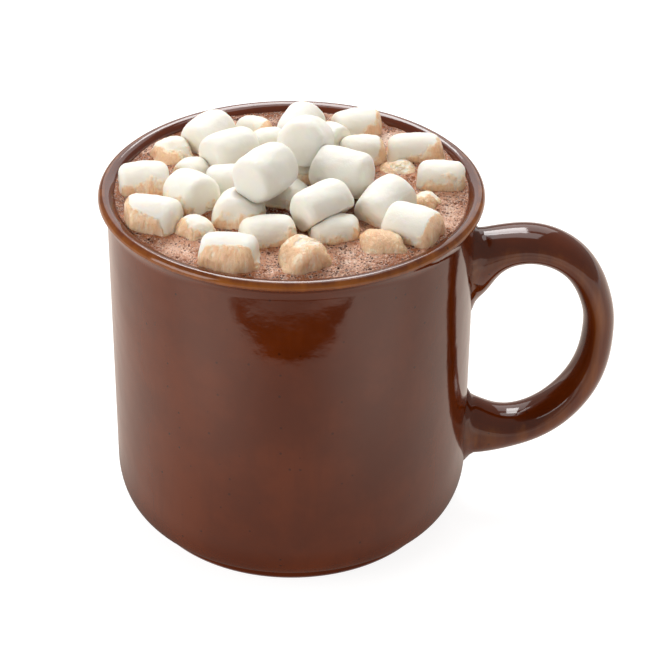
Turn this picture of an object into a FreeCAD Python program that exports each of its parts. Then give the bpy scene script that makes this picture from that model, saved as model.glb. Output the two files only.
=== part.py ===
"""Hot chocolate: a stoneware mug with a bent handle, its drink, and a heap of small marshmallows.

Millimetres, +Z up.  The origin is the centre of the foot, on the surface that the mug stands on,
and the handle points along +X.  Each separate piece is one solid in its own file.
"""
import FreeCAD, Part
import math
import os
from typing import NamedTuple

Vector = FreeCAD.Vector
UP = Vector(0, 0, 1)
CENTRE = Vector(0, 0, 0)

# Mug body
MUG_HEIGHT = 89.0
BODY_RADIUS = 44.0
WALL_AT_MOUTH = 2.1
WALL_AT_BASE = 5.0
FLOOR_THICKNESS = 5.0
FLOOR_ROUNDING = 8.0
CORNER_HEIGHT = 10.5
CORNER_INSET = 5.1

# Rolled lip
LIP_OVERHANG = 2.0
LIP_DEPTH = 3.1
LIP_BULGE_DROP = 1.6
LIP_CREST_INSET = 1.6
LIP_INNER_DROP = 1.6

# Foot ring
FOOT_HEIGHT = 3.7
FOOT_STEP = 1.0
FOOT_TAPER = 0.4
FOOT_WIDTH = 4.5
FOOT_HOLLOW = 2.0

# Handle
HANDLE_REACH = 32.2
HANDLE_HEIGHT = 60.0
HANDLE_RAISE = 0.5
HANDLE_WIDTH = 12.8
HANDLE_THICKNESS_TOP = 10.4
HANDLE_THICKNESS_MIDDLE = 7.5
HANDLE_THICKNESS_BOTTOM = 10.2
ROOT_FLARE_TOP = 7.4
ROOT_FLARE_BOTTOM = 6.2
ROOT_FLARE_LENGTH = 0.05
ROOT_DEPTH = 4.5
HANDLE_SECTIONS = 22
SECTION_POINTS = 16
# Control points of the handle's middle line: shares of its reach out of the wall, and of its
# height above or below its middle, which lies HANDLE_RAISE above the middle of the mug.
HANDLE_LINE = (
    (-0.12, 0.34),
    (0.21, 0.50),
    (0.75, 0.47),
    (0.97, 0.21),
    (1.00, 0.07),
    (0.93, -0.25),
    (0.38, -0.47),
    (-0.07, -0.40),
)

# Drink
DRINK_DROP = 1.7

# Marshmallow heap.  HEAP_RADIUS is the radius of the room that the places below are meant for.
HEAP_RADIUS = 41.9
MARSHMALLOW_SIZE = 10.0
MARSHMALLOW_ROUNDING = 2.3
MARSHMALLOW_BULGE = 0.3
PRESS = 0.4
SQUEEZE_GAP = 0.1
WALL_GAP = 0.3
SETTLE_STEP = 0.1
NEIGHBOUR_RANGE = 2.5


class Marshmallow(NamedTuple):
    """A marshmallow's place in the heap and its size.

    bearing is its direction from the mug's axis in degrees, counted from the handle, and reach
    its distance from that axis.  rise is the height of its middle above the drink.  heading and
    tilt turn its own axis.  girth and length are its diameter and its length, in shares of the
    usual size.
    """

    bearing: float
    reach: float
    rise: float
    heading: float
    tilt: float
    girth: float
    length: float


HEAP = (
    # Round the wall, from the handle on, against the clock
    Marshmallow(6, 36.0, 1.3, -5, 0, 0.88, 1.12),
    Marshmallow(30, 34.8, 1.4, 8, 0, 0.90, 1.30),
    Marshmallow(62, 34.5, 1.5, 15, 0, 0.90, 1.20),
    Marshmallow(85, 26.2, 3.6, 70, 15, 1.05, 1.10),
    Marshmallow(108, 30.7, 1.0, -20, 0, 0.74, 0.86),
    Marshmallow(131, 31.0, 2.6, 52, 8, 1.10, 1.20),
    Marshmallow(149, 34.5, 0.3, 30, 0, 0.82, 0.86),
    Marshmallow(177, 35.2, 1.3, 8, 0, 1.00, 1.18),
    Marshmallow(206, 35.9, 1.7, -18, 0, 1.02, 1.30),
    Marshmallow(222, 29.8, 0.0, -60, 0, 0.76, 0.76),
    Marshmallow(247, 36.0, 1.7, -10, 0, 1.02, 1.28),
    Marshmallow(275, 33.3, 0.7, -60, 0, 1.00, 0.96),
    Marshmallow(308, 33.4, -0.2, -15, 0, 0.74, 0.94),
    Marshmallow(323, 34.8, 1.9, -28, 0, 1.06, 1.25),
    Marshmallow(349, 32.3, 0.2, 50, 0, 0.52, 0.54),
    # Between the wall and the middle
    Marshmallow(23, 28.1, -0.4, 10, 0, 0.52, 0.62),
    Marshmallow(44, 24.1, 1.2, 10, 0, 0.92, 1.06),
    Marshmallow(66, 23.1, 2.6, -40, 10, 0.88, 0.92),
    Marshmallow(107, 20.3, 2.1, 30, 0, 0.86, 0.96),
    Marshmallow(140, 19.4, 4.1, 35, 0, 1.06, 1.30),
    Marshmallow(162, 25.1, 0.5, 40, 0, 0.76, 0.80),
    Marshmallow(181, 14.6, 1.7, 0, 0, 1.00, 1.10),
    Marshmallow(196, 24.4, 2.7, -50, 8, 1.12, 1.10),
    Marshmallow(228, 18.2, 1.3, 80, -10, 1.16, 1.10),
    Marshmallow(257, 23.9, 1.3, 12, 0, 0.90, 1.25),
    Marshmallow(295, 23.4, 0.9, 5, 0, 0.82, 1.10),
    Marshmallow(331, 25.1, 2.9, 50, 15, 1.14, 1.25),
    # In the middle, low
    Marshmallow(70, 7.4, -0.8, 0, 0, 1.00, 1.20),
    Marshmallow(260, 4.8, -0.1, 60, 0, 0.96, 1.00),
    # Low, behind the taller ones
    Marshmallow(28, 14.8, 0.0, -20, 0, 0.88, 1.05),
    Marshmallow(121, 11.0, 0.6, -30, 0, 0.82, 0.90),
    # On top of the others
    Marshmallow(293, 18.0, 5.1, 38, 5, 1.06, 1.30),
    Marshmallow(351, 12.0, 7.1, -25, 0, 1.10, 1.40),
    Marshmallow(237, 11.3, 10.2, 55, 0, 1.15, 1.38),
    Marshmallow(64, 7.9, 9.6, 75, -20, 1.20, 1.30),
)


def drink_level():
    """Height of the drink's surface."""
    return MUG_HEIGHT - DRINK_DROP


def mouth_radius():
    """Inner radius of the wall just under the lip."""
    return BODY_RADIUS - WALL_AT_MOUTH


def flat_point(radius, height):
    """A point of a profile, in the plane that is turned round the axis."""
    return Vector(radius, 0, height)


def line(start, end):
    """A straight edge of a profile."""
    return Part.LineSegment(flat_point(*start), flat_point(*end)).toShape()


def arc(start, middle, end):
    """A round edge of a profile through three points."""
    return Part.Arc(flat_point(*start), flat_point(*middle), flat_point(*end)).toShape()


def elliptic_corner(centre, across, up):
    """The quarter of an ellipse from straight below its centre to straight beside it."""
    steps = 8
    points = []
    for step in range(steps + 1):
        angle = math.pi / 2 * step / steps
        points.append(
            flat_point(centre[0] + across * math.sin(angle), centre[1] - up * math.cos(angle))
        )
    curve = Part.BSplineCurve()
    curve.interpolate(points, InitialTangent=Vector(1, 0, 0), FinalTangent=UP)
    return curve.toShape()


def turned(edges):
    """The solid that a closed profile makes, turned once round Z."""
    return Part.Face(Part.Wire(edges)).revolve(CENTRE, UP, 360)


def body_outside():
    """The mug's body without its hollow, from the foot to the lip's crest."""
    foot_radius = BODY_RADIUS - CORNER_INSET - FOOT_STEP
    corner_start = BODY_RADIUS - CORNER_INSET
    corner_top = FOOT_HEIGHT + CORNER_HEIGHT
    lip_bottom = MUG_HEIGHT - LIP_DEPTH
    bulge = (BODY_RADIUS + LIP_OVERHANG, MUG_HEIGHT - LIP_BULGE_DROP)
    crest = (BODY_RADIUS + LIP_OVERHANG - LIP_CREST_INSET, MUG_HEIGHT)
    under_lip = (BODY_RADIUS + 0.35 * LIP_OVERHANG, lip_bottom + 0.25 * (bulge[1] - lip_bottom))
    shoulder = (bulge[0] - 0.26 * LIP_CREST_INSET, crest[1] - 0.27 * LIP_BULGE_DROP)
    return turned([
        line((0, 0), (foot_radius - FOOT_TAPER, 0)),
        line((foot_radius - FOOT_TAPER, 0), (foot_radius, FOOT_HEIGHT)),
        line((foot_radius, FOOT_HEIGHT), (corner_start, FOOT_HEIGHT)),
        elliptic_corner((corner_start, corner_top), CORNER_INSET, CORNER_HEIGHT),
        line((BODY_RADIUS, corner_top), (BODY_RADIUS, lip_bottom)),
        arc((BODY_RADIUS, lip_bottom), under_lip, bulge),
        arc(bulge, shoulder, crest),
        line(crest, (0, MUG_HEIGHT)),
        line((0, MUG_HEIGHT), (0, 0)),
    ])


def hollow(top):
    """The room inside the mug, up to a given height: it is the drink's shape as well."""
    floor = FOOT_HOLLOW + FLOOR_THICKNESS
    base = BODY_RADIUS - WALL_AT_BASE
    rounding = FLOOR_ROUNDING
    lift = rounding * (1 - math.sqrt(0.5))
    mouth = (mouth_radius(), MUG_HEIGHT - LIP_INNER_DROP)
    crest = (BODY_RADIUS + LIP_OVERHANG - LIP_CREST_INSET, MUG_HEIGHT)
    edge = (mouth[0] + 0.38 * (crest[0] - mouth[0]), crest[1] - 0.34 * LIP_INNER_DROP)
    room = turned([
        line((0, floor), (base - rounding, floor)),
        arc((base - rounding, floor), (base - lift, floor + lift), (base, floor + rounding)),
        line((base, floor + rounding), mouth),
        arc(mouth, edge, crest),
        line(crest, (0, MUG_HEIGHT)),
        line((0, MUG_HEIGHT), (0, floor)),
    ])
    if top >= MUG_HEIGHT:
        return room
    lid = Part.makeCylinder(2 * BODY_RADIUS, MUG_HEIGHT, flat_point(0, top))
    return room.cut(lid)


def foot_hollow():
    """The shallow room under the mug, inside the ring that it stands on."""
    foot_radius = BODY_RADIUS - CORNER_INSET - FOOT_STEP - FOOT_TAPER
    rim = foot_radius - FOOT_WIDTH
    return Part.makeCone(rim, rim - FOOT_HOLLOW, FOOT_HOLLOW)


def handle_line():
    """The middle line of the handle, from its upper root to its lower one."""
    middle = MUG_HEIGHT / 2 + HANDLE_RAISE
    poles = [
        flat_point(BODY_RADIUS + HANDLE_REACH * out, middle + HANDLE_HEIGHT * up)
        for out, up in HANDLE_LINE
    ]
    curve = Part.BSplineCurve()
    spans = len(poles) - 3
    knots = [step / spans for step in range(spans + 1)]
    curve.buildFromPolesMultsKnots(poles, [4] + [1] * (spans - 1) + [4], knots, False, 3)
    return curve


def handle_thickness(share):
    """Thickness of the handle at a share of its way from the upper root to the lower one."""
    top, middle, bottom = HANDLE_THICKNESS_TOP, HANDLE_THICKNESS_MIDDLE, HANDLE_THICKNESS_BOTTOM
    plain = (
        top * (1 - share) * (1 - 2 * share)
        + middle * 4 * share * (1 - share)
        + bottom * share * (2 * share - 1)
    )
    flare_top = ROOT_FLARE_TOP * math.exp(-((share / ROOT_FLARE_LENGTH) ** 2))
    flare_bottom = ROOT_FLARE_BOTTOM * math.exp(-(((1 - share) / ROOT_FLARE_LENGTH) ** 2))
    return plain + flare_top + flare_bottom


def handle_section(curve, share):
    """One oval section of the handle, square to its middle line."""
    centre = curve.value(share)
    along = curve.tangent(share)[0]
    inward = along.cross(Vector(0, 1, 0))
    width = HANDLE_WIDTH / 2
    thickness = handle_thickness(share) / 2
    points = []
    for step in range(SECTION_POINTS):
        angle = 2 * math.pi * step / SECTION_POINTS
        points.append(
            centre
            + Vector(0, width * math.cos(angle), 0)
            + inward * (thickness * math.sin(angle))
        )
    oval = Part.BSplineCurve()
    oval.interpolate(points, PeriodicFlag=True)
    return Part.Wire(oval.toShape())


def handle():
    """The handle, with both roots running on straight through the wall."""
    curve = handle_line()
    sections = [
        handle_section(curve, step / HANDLE_SECTIONS) for step in range(HANDLE_SECTIONS + 1)
    ]
    upper_end = sections[0].translated(curve.tangent(0)[0] * -ROOT_DEPTH)
    lower_end = sections[-1].translated(curve.tangent(1)[0] * ROOT_DEPTH)
    return Part.makeLoft([upper_end, *sections, lower_end], True)


def mug():
    """The mug with its handle, in one piece."""
    return body_outside().fuse(handle()).cut(hollow(MUG_HEIGHT)).cut(foot_hollow())


class Placed:
    """A marshmallow at its place in the mug."""

    def __init__(self, row):
        spread = min(1.0, mouth_radius() / HEAP_RADIUS)
        bearing = math.radians(row.bearing)
        heading = math.radians(row.heading)
        tilt = math.radians(row.tilt)
        self.centre = Vector(
            row.reach * spread * math.cos(bearing),
            row.reach * spread * math.sin(bearing),
            drink_level() + row.rise,
        )
        self.axis = Vector(
            math.cos(heading) * math.cos(tilt), math.sin(heading) * math.cos(tilt), math.sin(tilt)
        )
        self.radius = row.girth * MARSHMALLOW_SIZE / 2
        self.half_length = row.length * MARSHMALLOW_SIZE / 2
        self.rounding = min(MARSHMALLOW_ROUNDING, 0.7 * self.radius, 0.7 * self.half_length)

    def extent(self, direction):
        """How far the marshmallow reaches from its middle in a direction."""
        along = abs(direction.dot(self.axis))
        across = math.sqrt(max(0.0, 1 - along * along))
        side = self.radius + MARSHMALLOW_BULGE - self.rounding
        return side * across + (self.half_length - self.rounding) * along + self.rounding

    def solid(self):
        """The marshmallow's own shape: a short rounded cylinder with a slightly full side."""
        radius, half, rounding = self.radius, self.half_length, self.rounding
        inset = rounding * (1 - math.sqrt(0.5))
        flat, straight = radius - rounding, half - rounding
        shape = turned([
            line((0, -half), (flat, -half)),
            arc((flat, -half), (radius - inset, inset - half), (radius, -straight)),
            arc((radius, -straight), (radius + MARSHMALLOW_BULGE, 0), (radius, straight)),
            arc((radius, straight), (radius - inset, half - inset), (flat, half)),
            line((flat, half), (0, half)),
            line((0, half), (0, -half)),
        ])
        shape.Placement = FreeCAD.Placement(self.centre, FreeCAD.Rotation(UP, self.axis))
        return shape


def directions(count):
    """Directions spread evenly all round."""
    golden = math.pi * (3 - math.sqrt(5))
    found = []
    for step in range(count):
        height = 1 - 2 * (step + 0.5) / count
        ring = math.sqrt(1 - height * height)
        found.append(Vector(ring * math.cos(golden * step), ring * math.sin(golden * step), height))
    return found


def contact(first, second, ways):
    """How deep two marshmallows press into each other, and the way in which that is least.

    A depth below zero is the gap between them.
    """
    offset = second.centre - first.centre

    def depth(way):
        return first.extent(way) + second.extent(way) - way.dot(offset)

    best = min(ways, key=depth)
    step = 0.15
    while step > 0.005:
        side = best.cross(UP if abs(best.z) < 0.9 else Vector(1, 0, 0)).normalize()
        other = best.cross(side)
        tries = [best + side * step, best - side * step, best + other * step, best - other * step]
        nearest = min((way.normalize() for way in tries), key=depth)
        if depth(nearest) < depth(best):
            best = nearest
        else:
            step /= 2
    return depth(best), best


def close(first, second):
    """Whether two marshmallows are near enough to touch."""
    return (second.centre - first.centre).Length < NEIGHBOUR_RANGE * MARSHMALLOW_SIZE


def settle(pieces, ways):
    """Lower each marshmallow that touches nothing until it rests on the drink or on another."""
    settled = []
    for piece in sorted(pieces, key=lambda item: item.centre.z):
        near = [other for other in settled if close(piece, other)]
        while piece.centre.z - piece.extent(UP) > drink_level() - PRESS:
            if any(contact(piece, other, ways)[0] > PRESS for other in near):
                break
            piece.centre = piece.centre - UP * SETTLE_STEP
        settled.append(piece)


def beyond(point, way):
    """All the space on the far side of a plane, as a box larger than any marshmallow."""
    size = 6 * MARSHMALLOW_SIZE
    box = Part.makeBox(size, size, size, Vector(-size / 2, -size / 2, 0))
    box.Placement = FreeCAD.Placement(point, FreeCAD.Rotation(UP, way))
    return box


def heap():
    """All marshmallows: where two press together, both are flat, with a hair's gap between."""
    ways = directions(160)
    pieces = [Placed(row) for row in HEAP]
    settle(pieces, ways)
    wall = Part.makeCylinder(mouth_radius() - WALL_GAP, 2 * MUG_HEIGHT)
    solids = [piece.solid().common(wall) for piece in pieces]
    for index, first in enumerate(pieces):
        for other in range(index + 1, len(pieces)):
            second = pieces[other]
            if not close(first, second):
                continue
            depth, way = contact(first, second, ways)
            if depth <= -SQUEEZE_GAP:
                continue
            middle = first.centre + way * (first.extent(way) - depth / 2)
            gap = way * (SQUEEZE_GAP / 2)
            solids[index] = solids[index].cut(beyond(middle - gap, way))
            solids[other] = solids[other].cut(beyond(middle + gap, way * -1))
    return solids


def drink(marshmallows):
    """The drink up to its level, with a hollow for each marshmallow that lies in it."""
    return hollow(drink_level()).cut(marshmallows)


def main():
    """Build every piece and write each to its own file."""
    os.makedirs("parts", exist_ok=True)
    marshmallows = heap()
    pieces = {"mug": mug(), "drink": drink(marshmallows)}
    for number, marshmallow in enumerate(marshmallows, start=1):
        pieces[f"marshmallow_{number:02d}"] = marshmallow
    for name, shape in pieces.items():
        solids = shape.Solids
        if len(solids) != 1 or not solids[0].isValid():
            print(name, "has", len(solids), "solids")
        solids[0].exportStep(f"parts/{name}.step")


if __name__ == "__main__":
    main()
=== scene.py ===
"""The looks of a mug of hot chocolate with small marshmallows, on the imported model's frame."""

import logging
import math
from dataclasses import dataclass, field
from enum import Enum
from functools import partial, reduce

import bmesh
import bpy
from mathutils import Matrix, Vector, kdtree
from mathutils import noise as value_noise


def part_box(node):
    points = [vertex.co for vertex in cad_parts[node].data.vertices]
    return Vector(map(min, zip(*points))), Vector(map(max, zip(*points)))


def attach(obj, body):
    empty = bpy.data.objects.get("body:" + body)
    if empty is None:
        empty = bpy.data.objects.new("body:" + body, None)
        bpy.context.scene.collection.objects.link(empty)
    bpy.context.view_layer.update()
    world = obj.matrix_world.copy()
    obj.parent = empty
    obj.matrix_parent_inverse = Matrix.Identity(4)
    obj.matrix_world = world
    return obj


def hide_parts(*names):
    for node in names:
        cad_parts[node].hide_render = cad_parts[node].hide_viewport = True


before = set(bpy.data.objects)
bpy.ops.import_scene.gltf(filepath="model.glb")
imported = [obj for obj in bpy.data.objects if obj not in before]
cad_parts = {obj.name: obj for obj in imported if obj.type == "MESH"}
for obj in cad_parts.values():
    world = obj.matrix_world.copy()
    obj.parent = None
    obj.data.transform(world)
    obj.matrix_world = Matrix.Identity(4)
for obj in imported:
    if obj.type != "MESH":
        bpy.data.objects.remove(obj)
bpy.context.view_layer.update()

LOG = logging.getLogger("hot_chocolate")
ROOT = "root"
DRINK_LEVEL = 0.0873
Point = tuple[float, float]
Place = tuple[float, float, float]
Colour = tuple[float, float, float]


def linear(red: int, green: int, blue: int) -> Colour:
    """A display colour from 0 to 255 as linear light.

    Args:
        red: Red, 0 to 255.
        green: Green, 0 to 255.
        blue: Blue, 0 to 255.

    Returns:
        The three channels as linear values.
    """

    def channel(value: int) -> float:
        """One channel as linear light."""
        share = value / 255
        return share / 12.92 if share <= 0.04045 else ((share + 0.055) / 1.055) ** 2.4

    return channel(red), channel(green), channel(blue)


class Graph:
    """A small builder for shader and geometry node trees."""

    def __init__(self, tree: bpy.types.NodeTree) -> None:
        """Takes the tree that the nodes go into."""
        self.tree = tree

    def add(self, kind: str, ins: dict | None = None, **props: object) -> bpy.types.Node:
        """Adds a node and sets it up.

        Args:
            kind: The node's type.
            ins: Values or sockets for its inputs, by name or index.
            **props: Attributes of the node.

        Returns:
            The new node.
        """
        node = self.tree.nodes.new(kind)
        for name, value in props.items():
            setattr(node, name, value)
        for key, value in (ins or {}).items():
            self.feed(node.inputs[key], value)
        return node

    def feed(self, socket: bpy.types.NodeSocket, value: object) -> None:
        """Links or sets one input.

        Args:
            socket: The input socket.
            value: An output socket to link, or a constant.
        """
        if isinstance(value, bpy.types.NodeSocket):
            self.tree.links.new(value, socket)
        elif isinstance(value, tuple) and len(value) == 3 and socket.type == "RGBA":
            socket.default_value = (*value, 1.0)
        else:
            socket.default_value = value

    def place(self) -> bpy.types.NodeSocket:
        """The shaded point in the object's own frame."""
        return self.add("ShaderNodeTexCoord").outputs["Object"]

    def mark(self, name: str) -> bpy.types.NodeSocket:
        """The number that a mesh keeps on its points under a name."""
        return self.add("ShaderNodeAttribute", attribute_name=name).outputs["Fac"]

    def parts(self, vector: object) -> bpy.types.bpy_prop_collection:
        """The three parts of a vector, as sockets."""
        return self.add("ShaderNodeSeparateXYZ", {0: vector}).outputs

    def reach(self, place: object) -> bpy.types.NodeSocket:
        """The distance of a place from the upright axis."""
        return self.vector("LENGTH", self.vector("MULTIPLY", place, (1.0, 1.0, 0.0)))

    def math(self, operation: str, *values: object) -> bpy.types.NodeSocket:
        """A calculation with one, two or three numbers or sockets."""
        return self.add("ShaderNodeMath", dict(enumerate(values)), operation=operation).outputs[0]

    def plus(self, *values: object) -> bpy.types.NodeSocket:
        """The sum of numbers or sockets."""
        return reduce(partial(self.math, "ADD"), values)

    def minus(self, first: object, second: object) -> bpy.types.NodeSocket:
        """One number less another."""
        return self.math("SUBTRACT", first, second)

    def times(self, *values: object) -> bpy.types.NodeSocket:
        """The product of numbers or sockets."""
        return reduce(partial(self.math, "MULTIPLY"), values)

    def over(self, first: object, second: object) -> bpy.types.NodeSocket:
        """One number divided by another."""
        return self.math("DIVIDE", first, second)

    def swing(self, value: object, amount: float) -> bpy.types.NodeSocket:
        """A pattern from 0 to 1 as a swing to both sides of 0, an amount wide."""
        return self.times(self.minus(value, 0.5), amount)

    def vector(self, operation: str, *values: object) -> bpy.types.NodeSocket:
        """A calculation with vectors.

        Args:
            operation: The vector math node's operation; SCALE takes its factor second.
            *values: Vectors or sockets.

        Returns:
            The result's socket.
        """
        node = self.add("ShaderNodeVectorMath", operation=operation)
        if operation == "SCALE":
            self.feed(node.inputs[0], values[0])
            self.feed(node.inputs["Scale"], values[1])
        else:
            for index, value in enumerate(values):
                self.feed(node.inputs[index], value)
        scalar = operation in ("LENGTH", "DOT_PRODUCT", "DISTANCE")
        return node.outputs["Value" if scalar else "Vector"]

    def ramp(self, value: object, low: float, high: float, start: float = 0.0,
             end: float = 1.0) -> bpy.types.NodeSocket:
        """Maps a number from one span to another, eased and kept within it.

        Args:
            value: The number's socket.
            low: The value that gives start.
            high: The value that gives end.
            start: Result at low.
            end: Result at high.

        Returns:
            The result's socket.
        """
        node = self.add("ShaderNodeMapRange", {0: value, 1: low, 2: high, 3: start, 4: end},
                        interpolation_type="SMOOTHSTEP", clamp=True)
        return node.outputs[0]

    def noise(self, where: object, scale: float, detail: float = 2.0, rough: float = 0.5,
              shift: Place | None = None) -> bpy.types.NodeSocket:
        """Smooth noise from 0 to 1.

        Args:
            where: The position's socket.
            scale: Features per metre.
            detail: Octaves.
            rough: Weight of the finer octaves.
            shift: A fixed offset of the pattern, or None.

        Returns:
            The noise's socket.
        """
        if shift is not None:
            where = self.vector("ADD", where, shift)
        ins = {"Vector": where, "Scale": scale, "Detail": detail, "Roughness": rough}
        return self.add("ShaderNodeTexNoise", ins).outputs[0]

    def cells(self, where: object, scale: float) -> tuple[bpy.types.NodeSocket, bpy.types.NodeSocket]:
        """A pattern of uneven cells.

        Args:
            where: The position's socket.
            scale: Cells per metre.

        Returns:
            The distance from a cell's middle and a number from 0 to 1 for each cell, as sockets.
        """
        node = self.add("ShaderNodeTexVoronoi", {"Vector": where, "Scale": scale, "Randomness": 1.0},
                        feature="F1")
        draw = self.add("ShaderNodeSeparateColor", {0: node.outputs["Color"]}).outputs[0]
        return node.outputs["Distance"], draw

    def mix(self, share: object, first: object, second: object) -> bpy.types.NodeSocket:
        """Mixes two colours.

        Args:
            share: How much of the second.
            first: A colour or socket.
            second: A colour or socket.

        Returns:
            The mixed colour's socket.
        """
        node = self.add("ShaderNodeMix", data_type="RGBA")
        for index, value in ((0, share), (6, first), (7, second)):
            self.feed(node.inputs[index], value)
        return node.outputs[2]

    def bump(self, height: object, strength: float, distance: float,
             normal: object | None = None) -> bpy.types.NodeSocket:
        """Fine relief for a shader.

        Args:
            height: The height's socket.
            strength: Strength from 0 to 1.
            distance: Metres for a height of 1.
            normal: A normal to start from, or None.

        Returns:
            The normal's socket.
        """
        node = self.add("ShaderNodeBump", {"Height": height, "Strength": strength, "Distance": distance})
        if normal is not None:
            self.feed(node.inputs["Normal"], normal)
        return node.outputs[0]


class GeometryTree(Graph):
    """A geometry node tree with named inputs."""

    def __init__(self, name: str) -> None:
        """Starts an empty tree.

        Args:
            name: The tree's name.
        """
        super().__init__(bpy.data.node_groups.new(name, "GeometryNodeTree"))
        self.tree.interface.new_socket("Geometry", in_out="INPUT", socket_type="NodeSocketGeometry")
        self.tree.interface.new_socket("Geometry", in_out="OUTPUT", socket_type="NodeSocketGeometry")
        self.entry = self.tree.nodes.new("NodeGroupInput")
        self.exit = self.tree.nodes.new("NodeGroupOutput")

    def takes(self, name: str, kind: str = "Float") -> bpy.types.NodeSocket:
        """Adds a named input of a kind such as Float, Int, Vector or Object, and gives its socket."""
        self.tree.interface.new_socket(name, in_out="INPUT", socket_type=f"NodeSocket{kind}")
        return self.entry.outputs[name]

    def store(self, geometry: object, name: str, value: object) -> bpy.types.NodeSocket:
        """Keeps a number on every point.

        Args:
            geometry: The geometry's socket.
            name: The attribute's name.
            value: The number's socket.

        Returns:
            The geometry's socket.
        """
        node = self.add("GeometryNodeStoreNamedAttribute", {"Geometry": geometry, "Name": name},
                        data_type="FLOAT", domain="POINT")
        self.feed(next(s for s in node.inputs if s.name == "Value" and s.enabled), value)
        return node.outputs[0]

    def sample(self, geometry: object, index: object, kind: str, value: object) -> bpy.types.NodeSocket:
        """Reads a value off one point of another geometry.

        Args:
            geometry: The other geometry's socket.
            index: The point's number.
            kind: The value's data type.
            value: The value's socket.

        Returns:
            The value at that point, as a socket.
        """
        node = self.add("GeometryNodeSampleIndex", {"Geometry": geometry, "Index": index},
                        data_type=kind, domain="POINT")
        self.feed(next(s for s in node.inputs if s.name == "Value" and s.enabled), value)
        return next(s for s in node.outputs if s.enabled)

    def close(self, geometry: object, material: bpy.types.Material) -> bpy.types.NodeTree:
        """Ends the tree with real geometry and its finish.

        Args:
            geometry: The geometry's socket.
            material: The finish.

        Returns:
            The finished tree.
        """
        real = self.add("GeometryNodeRealizeInstances", {0: geometry})
        smooth = self.add("GeometryNodeSetShadeSmooth", {0: real.outputs[0]})
        painted = self.add("GeometryNodeSetMaterial", {0: smooth.outputs[0], "Material": material})
        self.tree.links.new(painted.outputs[0], self.exit.inputs[0])
        return self.tree

    def apply(self, obj: bpy.types.Object, values: dict[str, object]) -> bpy.types.Object:
        """Runs the tree on an object and keeps the result as a plain mesh.

        Args:
            obj: The object, which may have other modifiers already.
            values: The named inputs' values.

        Returns:
            The same object with its new mesh.
        """
        modifier = obj.modifiers.new("shape", "NODES")
        modifier.node_group = self.tree
        sockets = {item.name: item.identifier for item in self.tree.interface.items_tree
                   if item.item_type == "SOCKET" and item.in_out == "INPUT"}
        for name, value in values.items():
            modifier[sockets[name]] = value
        return baked(obj)


def baked(obj: bpy.types.Object) -> bpy.types.Object:
    """Turns an object's modifiers into a plain mesh.

    Args:
        obj: The object.

    Returns:
        The same object, without modifiers.
    """
    bpy.context.view_layer.update()
    graph = bpy.context.evaluated_depsgraph_get()
    mesh = bpy.data.meshes.new_from_object(obj.evaluated_get(graph), preserve_all_data_layers=True,
                                           depsgraph=graph)
    old = obj.data
    obj.modifiers.clear()
    obj.data = mesh
    mesh.name = obj.name
    if old.users == 0:
        bpy.data.meshes.remove(old)
    return obj


def linked(name: str, mesh: bpy.types.Mesh) -> bpy.types.Object:
    """Puts a mesh in the scene.

    Args:
        name: The object's name.
        mesh: Its mesh.

    Returns:
        The object.
    """
    obj = bpy.data.objects.new(name, mesh)
    bpy.context.scene.collection.objects.link(obj)
    return obj


def made(name: str, points: list, faces: list, material: bpy.types.Material | None = None,
         marks: dict[str, list[float]] | None = None) -> bpy.types.Object:
    """A smooth mesh object from points and faces.

    Args:
        name: The object's name.
        points: Corner positions in metres.
        faces: Corner numbers of each face.
        material: The finish.
        marks: Numbers to keep on the points, by attribute name.

    Returns:
        The object.
    """
    mesh = bpy.data.meshes.new(name)
    mesh.from_pydata([tuple(p) for p in points], [], faces)
    for label, numbers in (marks or {}).items():
        mesh.attributes.new(label, "FLOAT", "POINT").data.foreach_set("value", numbers)
    mesh.polygons.foreach_set("use_smooth", [True] * len(mesh.polygons))
    if material is not None:
        mesh.materials.append(material)
    mesh.update()
    return linked(name, mesh)


def outward(obj: bpy.types.Object) -> bpy.types.Object:
    """Turns every face of a closed mesh outwards.

    Args:
        obj: The object.

    Returns:
        The same object.
    """
    shape = bmesh.new()
    shape.from_mesh(obj.data)
    bmesh.ops.remove_doubles(shape, verts=shape.verts, dist=1e-7)
    bmesh.ops.recalc_face_normals(shape, faces=shape.faces)
    shape.to_mesh(obj.data)
    shape.free()
    return obj


class Slot(Enum):
    """The record's material slots."""

    GLAZE = "glaze"
    DRINK = "drink"
    MARSHMALLOW = "marshmallow"


def rides(obj: bpy.types.Object, slot: Slot, *nodes: str) -> None:
    """Hands a finished piece to the frame.

    Args:
        obj: The piece.
        slot: The material slot its finish belongs to; not used.
        *nodes: The nodes that it stands for.
    """
    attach(obj, ROOT)
    if nodes:
        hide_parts(*nodes)
    LOG.info("%s: %d corners, %d faces", obj.name, len(obj.data.vertices), len(obj.data.polygons))


def principled(name: str, settings: dict[str, object]) -> tuple[Graph, bpy.types.Node, bpy.types.Material]:
    """A material with one principled shader.

    Args:
        name: The material's name.
        settings: Fixed values of the shader's inputs, by name.

    Returns:
        Its graph, the shader node and the material.
    """
    material = bpy.data.materials.new(name)
    material.use_nodes = True
    graph = Graph(material.node_tree)
    shader = material.node_tree.nodes["Principled BSDF"]
    for label, value in settings.items():
        graph.feed(shader.inputs[label], value)
    return graph, shader, material


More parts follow.
